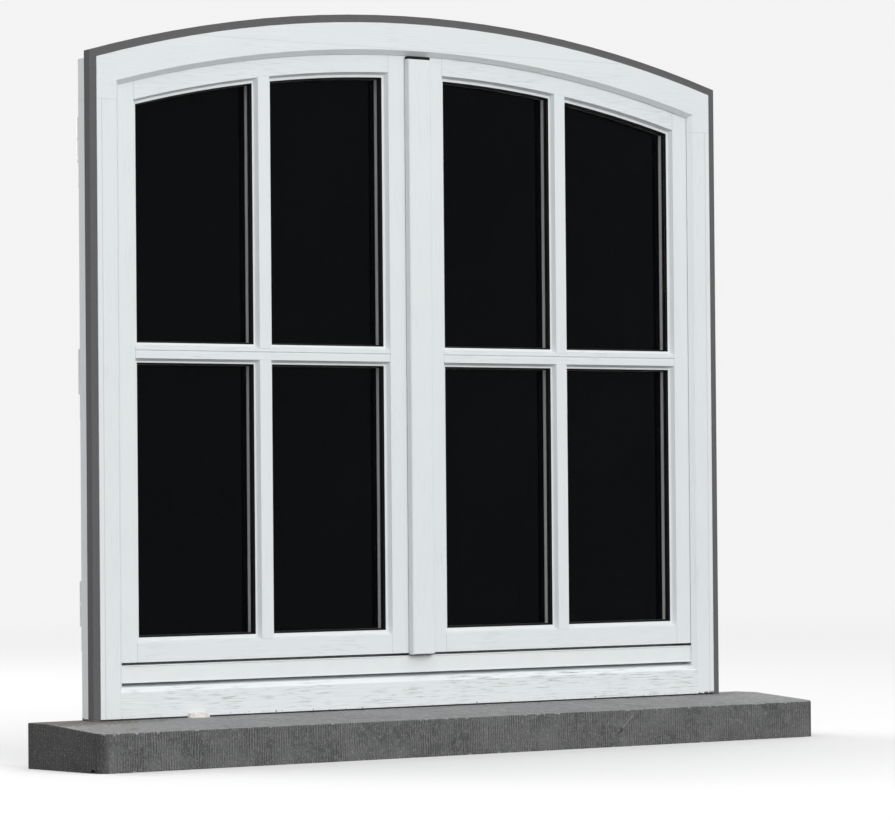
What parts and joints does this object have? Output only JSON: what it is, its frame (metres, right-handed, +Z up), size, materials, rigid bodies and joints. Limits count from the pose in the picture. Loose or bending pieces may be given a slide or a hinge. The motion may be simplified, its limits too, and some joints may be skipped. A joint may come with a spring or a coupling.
{
  "type": "arched double casement window with frame and sill",
  "caption": "White painted timber casement window with an arched head, two inward-opening leaves with glazing bars, and a dark stone sill.",
  "frame": {"origin": "middle of the stone sill's underside, in the plane of the frame's outside face", "axes": "+X to the right seen from the street, +Y into the room, +Z up"},
  "size_m": [1.455, 0.2773, 1.1928],
  "materials": {
    "white_paint": "satin white paint",
    "white_metal": "white coated",
    "bluestone": "sawn, finely tooled",
    "foam_tape": "matt foam",
    "seal_rubber": "matt",
    "glass": "clear",
    "spacer_metal": "mill",
    "steel": "satin"
  },
  "bodies": {
    "frame": {"stone_sill": "bluestone", "frame_head": "white_paint", "frame_left_jamb": "white_paint", "frame_right_jamb": "white_paint", "frame_bottom_rail": "white_paint", "joint_tape": "foam_tape", "rain_bar": "white_metal", "rain_bar_end_caps": "white_metal", "bolt_keeps": "steel", "left_frame_hinges": "steel", "right_frame_hinges": "steel"},
    "left_leaf": {"inside_cover_strip": "white_paint", "bolt_case": "steel", "bolt_guides": "steel", "left_hinge_stile": "white_paint", "left_meeting_stile": "white_paint", "left_top_rail": "white_paint", "left_bottom_rail": "white_paint", "left_horizontal_bar": "white_paint", "left_vertical_bar": "white_paint", "left_glazing_beads": "white_paint", "left_lower_jamb_outside_glass": "glass", "left_lower_jamb_inside_glass": "glass", "left_lower_centre_outside_glass": "glass", "left_lower_centre_inside_glass": "glass", "left_upper_jamb_outside_glass": "glass", "left_upper_jamb_inside_glass": "glass", "left_upper_centre_outside_glass": "glass", "left_upper_centre_inside_glass": "glass", "left_spacers": "spacer_metal", "left_setting_blocks": "seal_rubber", "left_seal": "seal_rubber", "left_leaf_hinges": "steel"},
    "right_leaf": {"outside_cover_strip": "white_paint", "right_hinge_stile": "white_paint", "right_meeting_stile": "white_paint", "right_top_rail": "white_paint", "right_bottom_rail": "white_paint", "right_horizontal_bar": "white_paint", "right_vertical_bar": "white_paint", "right_glazing_beads": "white_paint", "right_lower_jamb_outside_glass": "glass", "right_lower_jamb_inside_glass": "glass", "right_lower_centre_outside_glass": "glass", "right_lower_centre_inside_glass": "glass", "right_upper_jamb_outside_glass": "glass", "right_upper_jamb_inside_glass": "glass", "right_upper_centre_outside_glass": "glass", "right_upper_centre_inside_glass": "glass", "right_spacers": "spacer_metal", "right_setting_blocks": "seal_rubber", "right_seal": "seal_rubber", "right_leaf_hinges": "steel"},
    "handle": {"bolt_handle": "steel"},
    "upper_rod": {"upper_bolt_rod": "steel"},
    "lower_rod": {"lower_bolt_rod": "steel"}
  },
  "joints": [
    {"name": "left_leaf_hinge", "type": "hinge", "parent": "frame", "child": "left_leaf", "pos_m": [-0.618, 0.0595, 0.6255], "axis": [0, 0, 1], "range_deg": [0, 95]},
    {"name": "right_leaf_hinge", "type": "hinge", "parent": "frame", "child": "right_leaf", "pos_m": [0.618, 0.0595, 0.6255], "axis": [0, 0, -1], "range_deg": [0, 81]},
    {"name": "handle_turn", "type": "hinge", "parent": "left_leaf", "child": "handle", "pos_m": [0, 0.086, 0.6255], "axis": [0, -1, 0], "range_deg": [0, 90]},
    {"name": "upper_rod_slide", "type": "slide", "parent": "left_leaf", "child": "upper_rod", "axis": [0, 0, 1], "range_m": [0, 0.0181]},
    {"name": "lower_rod_slide", "type": "slide", "parent": "left_leaf", "child": "lower_rod", "axis": [0, 0, -1], "range_m": [0, 0.0181]}
  ],
  "couplings": [
    {"joint": "right_leaf_hinge", "follows": "left_leaf_hinge", "ratio": 0.85},
    {"joint": "upper_rod_slide", "follows": "handle_turn", "m_per_rad": 0.011459},
    {"joint": "lower_rod_slide", "follows": "handle_turn", "m_per_rad": 0.011459}
  ]
}
